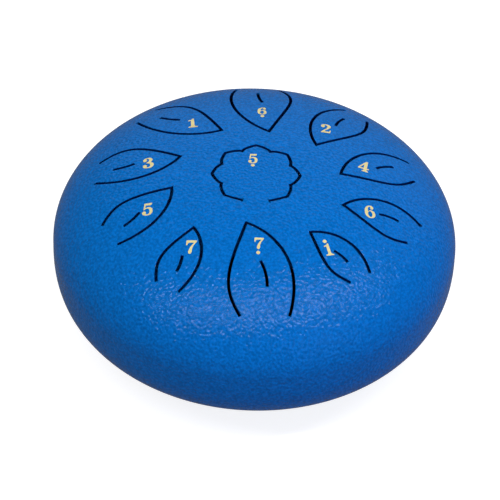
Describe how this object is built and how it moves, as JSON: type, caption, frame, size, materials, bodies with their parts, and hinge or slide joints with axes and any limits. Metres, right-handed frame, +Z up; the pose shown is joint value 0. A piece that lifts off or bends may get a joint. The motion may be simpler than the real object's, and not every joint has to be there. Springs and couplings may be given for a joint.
{
  "type": "tongue drum",
  "caption": "Small round steel tongue drum: a domed shell with slit leaf tongues round a lotus tongue, welded to a dish with a sound hole, on screwed rubber feet.",
  "frame": {"origin": "on the ground under the middle of the drum, at the level of the feet", "axes": "+Z up through the crown, -Y towards the player, +X to the player's right"},
  "size_m": [0.152, 0.152, 0.07],
  "materials": {
    "blue_coat": "satin textured powder coat",
    "rubber": "matte",
    "zinc_steel": "zinc plated"
  },
  "bodies": {
    "root": {"upper_shell": "blue_coat", "lower_shell": "blue_coat", "foot_1": "rubber", "foot_2": "rubber", "foot_3": "rubber", "foot_washer_1": "zinc_steel", "foot_washer_2": "zinc_steel", "foot_washer_3": "zinc_steel", "foot_screw_1": "zinc_steel", "foot_screw_2": "zinc_steel", "foot_screw_3": "zinc_steel", "weld_nut_1": "zinc_steel", "weld_nut_2": "zinc_steel", "weld_nut_3": "zinc_steel"}
  },
  "joints": []
}
